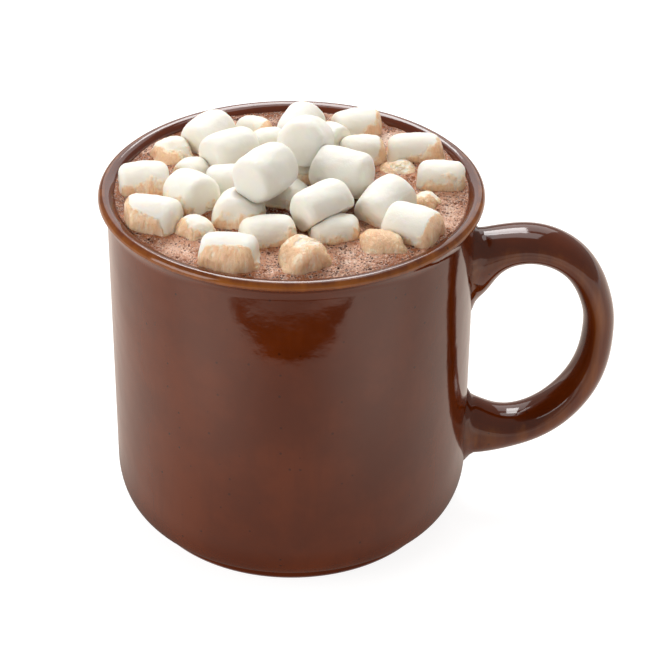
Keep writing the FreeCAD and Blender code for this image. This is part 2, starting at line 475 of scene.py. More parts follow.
@dataclass(frozen=True)
class GlazeFinish:
    """Glossy reddish-brown glaze that goes amber where it runs thin over an edge.

    Scales are features per metre.
    """

    deep: Colour = (0.112, 0.0175, 0.0010)
    dark: Colour = (0.082, 0.0120, 0.0007)
    amber: Colour = linear(146, 80, 10)
    speck: Colour = linear(30, 12, 6)
    roughness: float = 0.085
    ior: float = 1.52
    cloud_scale: float = 45.0
    run_scale: float = 260.0
    run_stretch: Place = (1.0, 1.0, 0.12)
    speck_scale: float = 420.0
    speck_rarity: float = 0.80
    swell_scale: float = 70.0
    swell_depth: float = 0.0006
    grain_scale: float = 620.0
    grain_depth: float = 0.0001

    def material(self) -> bpy.types.Material:
        """Builds the material.

        Returns:
            The glaze.
        """
        graph, shader, material = principled("glaze", {"Roughness": self.roughness, "IOR": self.ior})
        place = graph.place()
        clouds = graph.noise(place, self.cloud_scale, 4.0, 0.6)
        runs = graph.noise(graph.vector("MULTIPLY", place, self.run_stretch), self.run_scale, 3.0, 0.6)
        colour = graph.mix(graph.ramp(clouds, 0.35, 0.68), self.dark, self.deep)
        colour = graph.mix(graph.ramp(runs, 0.48, 0.72, 0.0, 0.45), colour, self.dark)
        edge = graph.plus(graph.mark("thin"), graph.swing(runs, 0.8))
        colour = graph.mix(graph.ramp(edge, 0.35, 0.95, 0.0, 0.9), colour, self.amber)
        distance, draw = graph.cells(place, self.speck_scale)
        rare = graph.math("GREATER_THAN", draw, self.speck_rarity)
        spot = graph.times(rare, graph.ramp(distance, 0.10, 0.17, 1.0, 0.0))
        colour = graph.mix(graph.times(spot, 0.55), colour, self.speck)
        graph.feed(shader.inputs["Base Color"], colour)
        swell = graph.bump(graph.noise(place, self.swell_scale), 0.35, self.swell_depth)
        grain = graph.bump(graph.noise(place, self.grain_scale, 3.0, 0.6), 0.16, self.grain_depth, swell)
        graph.feed(shader.inputs["Normal"], grain)
        return material


@dataclass(frozen=True)
class Pinholes:
    """One size of dark pinholes, a share of its cells left empty, with its fade as shares of a cell."""

    scale: float
    empty: float
    dark: float
    clear: float


@dataclass(frozen=True)
class FoamFinish:
    """Pinkish-brown milk foam with dark pinholes, pale swirls and fine bubbles, dark in the middle with
    painted shade between the marshmallows.

    Scales are features per metre, and lengths are metres.
    """

    foam: Colour = linear(212, 167, 142)
    pale: Colour = linear(244, 220, 204)
    cocoa: Colour = linear(136, 78, 46)
    film: Colour = linear(176, 110, 70)
    # Dark cocoa between the marshmallows, darkened further as painted shade in the gaps.
    deep: Colour = linear(96, 36, 5)
    hole: Colour = linear(72, 28, 10)
    roughness: float = 0.24
    gloss: float = 0.32
    warp_scale: float = 90.0
    warp_reach: float = 0.012
    swirl_scale: float = 130.0
    grain_scale: float = 1500.0
    crowd_scale: float = 75.0
    bubble_scale: float = 2200.0
    relief: float = 0.0006
    halo: float = 0.12
    hole_stretch: Place = (1.0, 1.25, 1.0)
    pinholes: tuple[Pinholes, ...] = (Pinholes(520.0, 0.20, 0.16, 0.27), Pinholes(850.0, 0.0, 0.18, 0.32),
                                      Pinholes(1500.0, -0.10, 0.20, 0.36))

    def tone(self, graph: Graph, place: object, swirl: object, grain: object) -> bpy.types.NodeSocket:
        """How pale the foam is: browner at the rim and in the middle, paler towards the handle.

        Args:
            graph: The material's graph.
            place: The position's socket.
            swirl: The swirls' socket.
            grain: The grain's socket.

        Returns:
            The tone's socket, about 0.5 in plain foam.
        """
        reach = graph.reach(place)
        brown = graph.plus(graph.ramp(reach, 0.0370, 0.0415, 0.0, 0.12),
                           graph.ramp(reach, 0.020, 0.034, 0.07, 0.0))
        side = graph.ramp(graph.parts(place)[0], -0.010, 0.032, 0.02, -0.06)
        return graph.minus(graph.plus(swirl, graph.swing(grain, 0.42)), graph.plus(brown, side))

    def material(self) -> bpy.types.Material:
        """Builds the material.

        Returns:
            The foam.
        """
        graph, shader, material = principled("foam", {
            "Roughness": self.roughness, "Specular IOR Level": self.gloss, "Subsurface Weight": 0.12,
            "Subsurface Radius": (1.0, 0.5, 0.35), "Subsurface Scale": 0.0015})
        place = graph.place()
        warp = graph.add("ShaderNodeTexNoise", {"Vector": place, "Scale": self.warp_scale, "Detail": 2.0})
        bend = graph.vector("SCALE", graph.vector("SUBTRACT", warp.outputs["Color"], (0.5, 0.5, 0.5)),
                            self.warp_reach)
        swirl = graph.noise(graph.vector("ADD", place, bend), self.swirl_scale, 4.0, 0.6)
        grain = graph.noise(place, self.grain_scale, 3.0, 0.65)
        tone = self.tone(graph, place, swirl, grain)
        colour = graph.mix(graph.ramp(tone, 0.36, 0.56), self.cocoa, self.foam)
        colour = graph.mix(graph.ramp(tone, 0.55, 0.74, 0.0, 0.9), colour, self.pale)
        colour = graph.mix(graph.times(graph.mark("film"), 0.65), colour, self.film)
        # Towards the middle the foam goes dark: the cocoa showing between the marshmallows, with painted
        # shade in the gaps.
        colour = graph.mix(graph.times(graph.mark("deep"), 0.9), colour, self.deep)
        height = graph.plus(graph.times(swirl, 0.4), graph.times(grain, 0.35))
        patches = graph.noise(place, self.crowd_scale, 2.0, 0.5, (0.3, 0.9, 0.1))
        crowd = graph.ramp(patches, 0.36, 0.56, 0.26, 0.80)
        stretched = graph.vector("MULTIPLY", place, self.hole_stretch)
        for holes in self.pinholes:
            distance, draw = graph.cells(stretched, holes.scale)
            rare = graph.math("LESS_THAN", draw, graph.minus(crowd, holes.empty))
            here = graph.times(rare, graph.ramp(distance, holes.dark, holes.clear, 1.0, 0.0))
            around = graph.ramp(distance, holes.clear, holes.clear + self.halo, 1.0, 0.0)
            ring = graph.times(rare, graph.minus(around, here))
            colour = graph.mix(graph.times(ring, 0.35), colour, self.pale)
            colour = graph.mix(graph.times(here, 0.88), colour, self.hole)
            height = graph.minus(height, graph.times(here, 0.5))
        bubbles = graph.cells(place, self.bubble_scale)[0]
        height = graph.minus(height, graph.times(bubbles, 0.5))
        graph.feed(shader.inputs["Base Color"], colour)
        graph.feed(shader.inputs["Normal"], graph.bump(height, 0.75, self.relief))
        return material


@dataclass(frozen=True)
class MarshmallowFinish:
    """Soft white sugar foam, stained tan and wet where cocoa has soaked in, with painted warm shade low down
    near the drink.

    Scales are features per metre, and lengths are metres.
    """

    white: Colour = (0.87, 0.855, 0.79)
    # Colour of the painted warm shade on the lower part of each piece.
    painted_warm_shade: Colour = (0.86, 0.78, 0.64)
    cream: Colour = linear(249, 231, 206)
    tan: Colour = linear(245, 206, 168)
    brown: Colour = linear(196, 132, 88)
    dry_roughness: float = 0.60
    wet_roughness: float = 0.22
    warm_from: float = DRINK_LEVEL + 0.0007
    warm_to: float = DRINK_LEVEL + 0.0077
    streak_scale: float = 650.0
    streak_stretch: Place = (1.0, 1.0, 0.3)
    blot_scale: float = 330.0
    pore_scale: float = 2600.0
    pore_depth: float = 0.0003
    streak_depth: float = 0.0012

    def material(self) -> bpy.types.Material:
        """Builds the material.

        Returns:
            The marshmallow.
        """
        graph, shader, material = principled("marshmallow", {
            "Subsurface Weight": 0.55, "Subsurface Radius": (1.0, 0.68, 0.42), "Subsurface Scale": 0.0030})
        place, soaked = graph.place(), graph.mark("soaked")
        drawn = graph.vector("MULTIPLY", place, self.streak_stretch)
        streaks = graph.noise(drawn, self.streak_scale, 4.0, 0.65)
        blots = graph.noise(place, self.blot_scale, 3.0, 0.55, (3.1, 1.7, 0.4))
        uneven = graph.plus(graph.swing(streaks, 2.1), graph.swing(blots, 0.9))
        wet = graph.plus(soaked, graph.times(uneven, graph.ramp(soaked, 0.02, 0.40)))
        # Painted shade: warmer and darker towards the drink, from warm_from down to warm_to.
        low = graph.ramp(graph.parts(place)[2], self.warm_from, self.warm_to, 0.55, 0.0)
        colour = graph.mix(low, self.white, self.painted_warm_shade)
        colour = graph.mix(graph.ramp(wet, 0.08, 0.40), colour, self.cream)
        colour = graph.mix(graph.ramp(wet, 0.34, 0.82), colour, self.tan)
        colour = graph.mix(graph.ramp(wet, 0.92, 1.55, 0.0, 0.60), colour, self.brown)
        graph.feed(shader.inputs["Base Color"], colour)
        graph.feed(shader.inputs["Roughness"],
                   graph.ramp(soaked, 0.25, 0.75, self.dry_roughness, self.wet_roughness))
        pores = graph.bump(graph.noise(place, self.pore_scale, 3.0, 0.6), 0.25, self.pore_depth)
        flow = graph.times(streaks, graph.ramp(soaked, 0.15, 0.6))
        graph.feed(shader.inputs["Normal"], graph.bump(flow, 0.8, self.streak_depth, pores))
        return material


def curve_through(start: Point, middle: Point, end: Point, steps: int) -> list[Point]:
    """Points on the circle arc through three points, without its start.

    Args:
        start: First point.
        middle: A point on the way.
        end: Last point.
        steps: Number of points.

    Returns:
        The points after start, up to end.
    """
    (ax, ay), (bx, by), (cx, cy) = start, middle, end
    d = 2 * (ax * (by - cy) + bx * (cy - ay) + cx * (ay - by))
    ux = ((ax * ax + ay * ay) * (by - cy) + (bx * bx + by * by) * (cy - ay)
          + (cx * cx + cy * cy) * (ay - by)) / d
    uy = ((ax * ax + ay * ay) * (cx - bx) + (bx * bx + by * by) * (ax - cx)
          + (cx * cx + cy * cy) * (bx - ax)) / d
    radius = math.hypot(ax - ux, ay - uy)
    first, via, last = (math.atan2(y - uy, x - ux) for x, y in (start, middle, end))
    turn = (last - first) % (2 * math.pi)
    if (via - first) % (2 * math.pi) > turn:
        turn -= 2 * math.pi
    return [(ux + radius * math.cos(first + turn * k / steps),
             uy + radius * math.sin(first + turn * k / steps)) for k in range(1, steps + 1)]


def softened(points: list[Point], corner: int, radius: float, steps: int = 5) -> list[Point]:
    """Rounds one corner of a line.

    Args:
        points: The line.
        corner: The corner's place in it.
        radius: Length taken off each side.
        steps: Points along the rounding.

    Returns:
        The line with the corner rounded.
    """
    before, here, after = (Vector(points[corner + k]) for k in (-1, 0, 1))
    start = here + (before - here).normalized() * radius
    end = here + (after - here).normalized() * radius
    bend = [tuple(start * (1 - t) ** 2 + here * 2 * t * (1 - t) + end * t * t)
            for t in (k / steps for k in range(steps + 1))]
    return points[:corner] + bend + points[corner + 1:]


@dataclass
class Mug:
    """The stoneware mug: a turned body with a rolled lip and a foot, and a strap handle."""

    glaze: bpy.types.Material
    height: float = 0.0890
    body_radius: float = 0.0440
    wall_at_mouth: float = 0.0021
    wall_at_base: float = 0.0050
    floor_top: float = 0.0070
    floor_rounding: float = 0.0080
    corner_height: float = 0.0105
    corner_inset: float = 0.0051
    lip_overhang: float = 0.0020
    lip_depth: float = 0.0031
    lip_bulge_drop: float = 0.0016
    lip_crest_inset: float = 0.0016
    lip_inner_drop: float = 0.0016
    foot_height: float = 0.0037
    foot_step: float = 0.0010
    foot_taper: float = 0.0004
    foot_width: float = 0.0045
    foot_hollow: float = 0.0020
    foot_roundings: tuple[float, float, float] = (0.0004, 0.0008, 0.0006)
    handle_reach: float = 0.0322
    handle_height: float = 0.0600
    handle_middle: float = 0.0450
    handle_width: float = 0.0128
    handle_line: tuple[Point, ...] = ((-0.12, 0.34), (0.21, 0.50), (0.75, 0.47), (0.97, 0.21),
                                      (1.00, 0.07), (0.93, -0.25), (0.38, -0.47), (-0.07, -0.40))
    handle_thickness: tuple[float, float, float] = (0.0104, 0.0075, 0.0102)
    root_swell: tuple[float, float] = (0.0074, 0.0062)
    root_share: float = 0.05
    root_depth: float = 0.0045
    root_rings: int = 4
    fillet: float = 0.0022
    segments: int = 288

    def outline(self) -> list[Place]:
        """The section from the middle of the underside, over the lip, to the middle of the floor.

        Returns:
            Radius, height and thinness of the glaze at each point.
        """
        foot = self.body_radius - self.corner_inset - self.foot_step
        rim = foot - self.foot_taper - self.foot_width
        start = self.body_radius - self.corner_inset
        top = self.foot_height + self.corner_height
        under = self.height - self.lip_depth
        bulge = (self.body_radius + self.lip_overhang, self.height - self.lip_bulge_drop)
        crest = (bulge[0] - self.lip_crest_inset, self.height)
        mouth = (self.body_radius - self.wall_at_mouth, self.height - self.lip_inner_drop)
        base = self.body_radius - self.wall_at_base
        line: list[Point] = [(0.0, self.foot_hollow), (rim - self.foot_hollow, self.foot_hollow),
                             (rim, 0.0), (foot - self.foot_taper, 0.0), (foot, self.foot_height),
                             (start, self.foot_height)]
        for corner, radius in zip((4, 3, 2), self.foot_roundings):
            line = softened(line, corner, radius)
        quarter = [math.pi / 2 * step / 24 for step in range(1, 25)]
        line += [(start + self.corner_inset * math.sin(angle), top - self.corner_height * math.cos(angle))
                 for angle in quarter]
        line += [(self.body_radius, top + (under - top) * k / 30) for k in range(1, 31)]
        low = (self.body_radius + 0.35 * self.lip_overhang, under + 0.25 * (bulge[1] - under))
        line += curve_through((self.body_radius, under), low, bulge, 12)
        shoulder = (bulge[0] - 0.26 * self.lip_crest_inset, crest[1] - 0.27 * self.lip_bulge_drop)
        line += curve_through(bulge, shoulder, crest, 14)
        edge = (mouth[0] + 0.38 * (crest[0] - mouth[0]), crest[1] - 0.34 * self.lip_inner_drop)
        line += curve_through(crest, edge, mouth, 14)
        bend = (base, self.floor_top + self.floor_rounding)
        line += [(mouth[0] + (bend[0] - mouth[0]) * k / 24, mouth[1] + (bend[1] - mouth[1]) * k / 24)
                 for k in range(1, 25)]
        lift = self.floor_rounding * (1 - math.sqrt(0.5))
        line += curve_through(bend, (base - lift, self.floor_top + lift),
                              (base - self.floor_rounding, self.floor_top), 10)
        line.append((0.0, self.floor_top))
        return [(r, z, self.thinness(r, z)) for r, z in line]

    def thinness(self, radius: float, height: float) -> float:
        """How thin the glaze lies on the body at a place.

        Args:
            radius: Distance from the axis.
            height: Height.

        Returns:
            From 0, thick, to 1, thin.
        """
        middle = self.height - 0.6 * self.lip_bulge_drop
        lip = max(0.0, 1 - abs(height - middle) / (0.8 * self.lip_depth))
        return 0.85 * lip if radius > self.body_radius + 0.0002 else 0.12 * lip

    def lathe(self) -> GeometryTree:
        """The tree that turns an outline about the upright axis.

        Returns:
            The tree.
        """
        tree = GeometryTree("lathe")
        outline = tree.takes("Outline", "Object")
        around, along = tree.takes("Segments", "Int"), tree.takes("Steps", "Int")
        grid = tree.add("GeometryNodeMeshGrid", {"Vertices X": tree.plus(around, 1.0), "Vertices Y": along})
        number = tree.add("GeometryNodeInputIndex").outputs[0]
        column = tree.math("FLOOR", tree.over(tree.plus(number, 0.5), along))
        row = tree.minus(number, tree.times(column, along))
        source = tree.add("GeometryNodeObjectInfo", {"Object": outline}).outputs["Geometry"]
        place, thin = (tree.sample(source, row, kind, tree.add(f"GeometryNodeInput{what}").outputs[0])
                       for kind, what in (("FLOAT_VECTOR", "Position"), ("FLOAT", "Radius")))
        at = tree.parts(place)
        turn = tree.over(tree.times(column, 2 * math.pi), around)
        spot = tree.add("ShaderNodeCombineXYZ", {
            0: tree.times(at[0], tree.math("COSINE", turn)),
            1: tree.times(at[0], tree.math("SINE", turn)), 2: at[2]})
        marked = tree.store(grid.outputs["Mesh"], "thin", thin)
        moved = tree.add("GeometryNodeSetPosition", {"Geometry": marked, "Position": spot.outputs[0]})
        whole = tree.add("GeometryNodeMergeByDistance", {0: moved.outputs[0], "Distance": 1e-6})
        tree.close(whole.outputs[0], self.glaze)
        return tree

    def body(self) -> bpy.types.Object:
        """The turned body.

        Returns:
            The body as a plain mesh.
        """
        outline = self.outline()
        curve = bpy.data.curves.new("mug_outline", "CURVE")
        curve.dimensions = "3D"
        spline = curve.splines.new("POLY")
        spline.points.add(len(outline) - 1)
        for point, (radius, height, thin) in zip(spline.points, outline):
            point.co, point.radius = (radius, 0.0, height, 1.0), thin
        source = bpy.data.objects.new("mug_outline", curve)
        bpy.context.scene.collection.objects.link(source)
        obj = linked("mug", bpy.data.meshes.new("mug"))
        self.lathe().apply(obj, {"Outline": source, "Segments": self.segments, "Steps": len(outline)})
        bpy.data.objects.remove(source)
        return outward(obj)

    def spot(self, share: float) -> Vector:
        """A point on the handle's middle line.

        Args:
            share: Share of the way from the upper root, from 0 to 1.

        Returns:
            The point.
        """
        poles = [Vector((self.body_radius + self.handle_reach * out, 0,
                         self.handle_middle + self.handle_height * up)) for out, up in self.handle_line]
        spans = len(poles) - 3
        knots = [0.0] * 3 + [k / spans for k in range(spans + 1)] + [1.0] * 3
        span = min(int(share * spans), spans - 1) + 3
        work = [poles[span - 3 + k] for k in range(4)]
        for level in range(1, 4):
            for k in range(3, level - 1, -1):
                low = knots[span - 3 + k]
                mix = (share - low) / (knots[span + 1 + k - level] - low)
                work[k] = work[k - 1] * (1 - mix) + work[k] * mix
        return work[3]

    def thickness(self, share: float) -> float:
        """The handle's thickness at a share of its way.

        Args:
            share: Share of the way from the upper root.

        Returns:
            Thickness in metres.
        """
        top, middle, bottom = self.handle_thickness
        plain = (top * (1 - share) * (1 - 2 * share) + middle * 4 * share * (1 - share)
                 + bottom * share * (2 * share - 1))
        return (plain + self.root_swell[0] * math.exp(-(share / self.root_share) ** 2)
                + self.root_swell[1] * math.exp(-((1 - share) / self.root_share) ** 2))

    def handle(self, rings: int = 120, around: int = 56) -> bpy.types.Object:
        """The handle, swept along its line, with both roots spreading onto the wall.

        Args:
            rings: Sections along it.
            around: Points round each section.

        Returns:
            The handle as a closed mesh, with its ends inside the wall.
        """
        points, thin = [], []
        across, wide, step = Vector((0, 1, 0)), self.handle_width / 2, 0.001
        for ring in range(-self.root_rings, rings + self.root_rings + 1):
            share = min(max(ring / rings, 0.0), 1.0)
            ahead, behind = self.spot(min(share + step, 1.0)), self.spot(max(share - step, 0.0))
            along = (ahead - behind).normalized()
            beyond = ring if ring < 0 else max(ring - rings, 0)
            centre = self.spot(share) + along * (self.root_depth * beyond / self.root_rings)
            inward = along.cross(across)
            half = self.thickness(share) / 2
            for k in range(around):
                angle = 2 * math.pi * k / around
                normal = (across * math.cos(angle) / wide + inward * math.sin(angle) / half).normalized()
                place = centre + across * (wide * math.cos(angle)) + inward * (half * math.sin(angle))
                points.append(self.spread(place, normal))
                thin.append(abs(math.cos(angle)) ** 4 * 0.26 + 0.22)
        count = rings + 2 * self.root_rings + 1
        faces = [[r * around + k, r * around + (k + 1) % around,
                  (r + 1) * around + (k + 1) % around, (r + 1) * around + k]
                 for r in range(count - 1) for k in range(around)]
        faces += [list(range(around))[::-1], list(range((count - 1) * around, count * around))]
        return outward(made("handle", points, faces, self.glaze, {"thin": thin}))

    def spread(self, place: Vector, normal: Vector) -> Vector:
        """Moves a point of the handle out along the wall where the two meet.

        Args:
            place: The point.
            normal: The handle's surface normal there.

        Returns:
            The point on the fillet, or the same point away from the wall.
        """
        away = Vector((place.x, place.y, 0))
        gap = away.length - self.body_radius
        if gap >= self.fillet:
            return place
        wall = away.normalized()
        side = normal - wall * normal.dot(wall)
        if side.length < 1e-6:
            return place
        drop = self.fillet - max(gap, 0.0)
        rise = self.fillet - math.sqrt(max(self.fillet ** 2 - drop ** 2, 0.0))
        return place + side.normalized() * rise

    def build(self) -> bpy.types.Object:
        """Makes the mug and hands it to the frame.

        Returns:
            The mug.
        """
        body, handle = self.body(), self.handle()
        shape = bmesh.new()
        shape.from_mesh(body.data)
        shape.from_mesh(handle.data)
        for face in shape.faces:
            face.material_index = 0
        shape.to_mesh(body.data)
        shape.free()
        body.data.materials.clear()
        body.data.materials.append(self.glaze)
        spare = handle.data
        bpy.data.objects.remove(handle)
        bpy.data.meshes.remove(spare)
        rides(body, Slot.GLAZE, "mug")
        return body


class Soak(Enum):
    """How far the cocoa has got into a marshmallow: tide height, lean and melt, in metres."""

    CLEAN = (0.0003, 0.0006, 0.0002)
    TINGED = (0.0014, 0.0016, 0.0005)
    ENDED = (0.0012, 0.0066, 0.0009)
    SWIRLED = (0.0024, 0.0026, 0.0012)
    MELTED = (0.0066, 0.0022, 0.0013)


@dataclass(frozen=True)
class Stain:
    """The state of one marshmallow: how soaked, and the bearing it is more soaked on."""

    soak: Soak
    bearing: float = -90.0


CLEAN, TINGED, ENDED, SWIRLED, MELTED = Soak


@dataclass
class Heap:
    """The marshmallows, one piece for each node, lumpy and soaked from below."""

    finish: bpy.types.Material
    cell: float = 0.00042
    melt_reach: float = 0.0012
    firm_lumps: tuple[float, float] = (0.0052, 0.0004)
    melted_lumps: tuple[float, float] = (0.0042, 0.0007)
    states: dict[int, Stain] = field(default_factory=lambda: {
        1: Stain(TINGED, -60), 2: Stain(ENDED, -20), 3: Stain(ENDED, -10), 4: Stain(TINGED, -30),
        5: Stain(ENDED, -30), 6: Stain(CLEAN), 7: Stain(SWIRLED, -120), 8: Stain(TINGED, -100),
        9: Stain(ENDED, 200), 10: Stain(SWIRLED, 200), 11: Stain(ENDED, -92),
        12: Stain(MELTED, -90), 13: Stain(MELTED, -30), 14: Stain(ENDED, -35), 15: Stain(SWIRLED, -90),
        16: Stain(SWIRLED, 200), 17: Stain(ENDED, -5), 18: Stain(TINGED), 19: Stain(CLEAN),
        20: Stain(CLEAN), 21: Stain(TINGED, -120), 22: Stain(CLEAN), 23: Stain(TINGED, -130),
        24: Stain(TINGED, -60), 25: Stain(TINGED, -30), 26: Stain(TINGED, -20), 27: Stain(CLEAN),
        28: Stain(TINGED), 29: Stain(TINGED, -40), 30: Stain(TINGED), 31: Stain(TINGED),
    })

    def stain(self, number: int) -> Stain:
        """The state of the marshmallow with a number; those on top are clean."""
        return self.states.get(number, Stain(CLEAN))

    def tree(self) -> GeometryTree:
        """The tree that makes a smooth piece lumpy, spreads its foot and marks where it is soaked.

        Returns:
            The tree.
        """
        tree = GeometryTree("marshmallow")
        names = ("Lump size", "Lump height", "Drink level", "Tide", "Lean", "Melt", "Melt reach")
        lump_size, lump, level, tide, lean, melt, reach = (tree.takes(name) for name in names)
        side, middle = tree.takes("Side", "Vector"), tree.takes("Middle", "Vector")
        seed = tree.takes("Seed")
        place = tree.add("GeometryNodeInputPosition").outputs[0]
        normal = tree.add("GeometryNodeInputNormal").outputs[0]
        drift = tree.vector("SCALE", (13.1, 7.7, 3.3), seed)
        at = tree.vector("ADD", tree.vector("SCALE", place, tree.over(1.0, lump_size)), drift)
        big = tree.noise(at, 1.0, 1.5, 0.45)
        fine = tree.noise(at, 4.5, 2.0, 0.5)
        height = tree.minus(tree.parts(place)[2], level)
        lumps = tree.plus(tree.minus(big, 0.5), tree.swing(fine, 0.28))
        rise = tree.times(lumps, tree.times(lump, 2.0))
        foot = tree.math("EXPONENT", tree.times(tree.over(tree.math("MAXIMUM", height, 0.0), reach), -1.0))
        foot = tree.times(foot, tree.ramp(height, -0.0012, 0.0, 0.2, 1.0))
        flat = tree.vector("NORMALIZE", tree.vector("MULTIPLY", normal, (1.0, 1.0, 0.0)))
        out = tree.times(foot, melt, tree.ramp(big, 0.3, 0.7, 0.2, 1.6))
        shift = tree.vector("ADD", tree.vector("SCALE", normal, rise), tree.vector("SCALE", flat, out))
        facing = tree.vector("DOT_PRODUCT", tree.vector("SUBTRACT", place, middle), side)
        turned = tree.ramp(tree.vector("DOT_PRODUCT", normal, side), 0.32, 0.76, 0.0, 1.1)
        slant = tree.plus(tree.times(facing, 70.0), turned)
        reached = tree.plus(tide, tree.times(lean, slant))
        uneven = tree.swing(tree.noise(at, 2.0, 2.0, 0.6), 0.009)
        depth = tree.minus(tree.plus(reached, uneven), height)
        line = tree.ramp(height, 0.0002, 0.0011, 0.55, 0.0)
        soaked = tree.plus(tree.ramp(depth, -0.0018, 0.0030, 0.0, 0.82), line)
        marked = tree.store(tree.entry.outputs["Geometry"], "soaked", soaked)
        moved = tree.add("GeometryNodeSetPosition", {"Geometry": marked, "Offset": shift})
        tree.close(moved.outputs[0], self.finish)
        return tree

    def core(self, name: str) -> bpy.types.Object:
        """A node as one smooth, even mesh, still with its modifiers.

        Args:
            name: The node's name.

        Returns:
            The object.
        """
        shape = bmesh.new()
        shape.from_mesh(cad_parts[name].data)
        bmesh.ops.remove_doubles(shape, verts=shape.verts, dist=1e-6)
        mesh = bpy.data.meshes.new(name)
        shape.to_mesh(mesh)
        shape.free()
        obj = linked(f"soft_{name}", mesh)
        cells = obj.modifiers.new("cells", "REMESH")
        cells.mode, cells.voxel_size, cells.use_smooth_shade = "VOXEL", self.cell, True
        ease = obj.modifiers.new("ease", "SMOOTH")
        ease.factor, ease.iterations = 0.5, 3
        return obj

    def build(self) -> list[bpy.types.Object]:
        """Makes every marshmallow and hands it to the frame.

        Returns:
            The marshmallows.
        """
        tree = self.tree()
        pieces = []
        for name in sorted(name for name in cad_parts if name.startswith("marshmallow")):
            number = int(name[-2:])
            low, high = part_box(name)
            stain = self.stain(number)
            tide, lean, melt = stain.soak.value
            bearing = math.radians(stain.bearing)
            lumps = self.melted_lumps if stain.soak in (SWIRLED, MELTED) else self.firm_lumps
            obj = tree.apply(self.core(name), {
                "Lump size": lumps[0], "Lump height": lumps[1], "Drink level": DRINK_LEVEL,
                "Tide": tide, "Lean": lean, "Melt": melt, "Melt reach": self.melt_reach,
                "Side": (math.cos(bearing), math.sin(bearing), 0.0),
                "Middle": tuple((low + high) / 2), "Seed": float(number)})
            rides(obj, Slot.MARSHMALLOW, name)
            pieces.append(obj)
        return pieces


